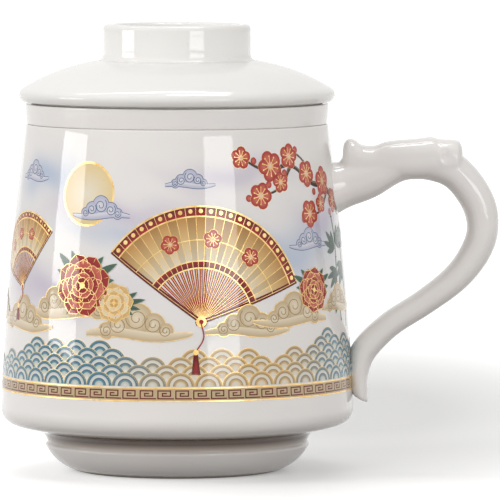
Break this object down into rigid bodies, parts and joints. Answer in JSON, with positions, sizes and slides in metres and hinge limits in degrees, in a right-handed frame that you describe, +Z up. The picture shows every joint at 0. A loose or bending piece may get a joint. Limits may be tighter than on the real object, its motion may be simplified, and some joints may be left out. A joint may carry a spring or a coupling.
{
  "type": "lidded tea mug with strainer",
  "caption": "Tapered porcelain office mug with a looped handle, a drop-in strainer basket and a lift-off domed lid with a ring knob.",
  "frame": {"origin": "on the mug's axis, in the plane that the foot ring stands on", "axes": "+Z up the mug's axis, +X towards the handle, -Y towards the viewer of the picture"},
  "size_m": [0.1394, 0.0988, 0.125],
  "materials": {
    "body_glaze": "clear gloss glaze on white porcelain, with a fired colour and gold print on the front",
    "handle_glaze": "clear gloss glaze on white porcelain",
    "infuser_glaze": "clear gloss glaze on white porcelain",
    "lid_glaze": "clear gloss glaze on white porcelain"
  },
  "bodies": {
    "mug": {"mug_body": "body_glaze", "handle": "handle_glaze"},
    "infuser": {"infuser": "infuser_glaze"},
    "lid": {"lid": "lid_glaze", "lid_knob_ring": "lid_glaze"}
  },
  "joints": [
    {"name": "infuser_lift", "type": "slide", "parent": "mug", "child": "infuser", "axis": [0, 0, 1], "range_m": [0, 0.1]},
    {"name": "lid_lift", "type": "slide", "parent": "infuser", "child": "lid", "axis": [0, 0, 1], "range_m": [0, 0.06]}
  ]
}
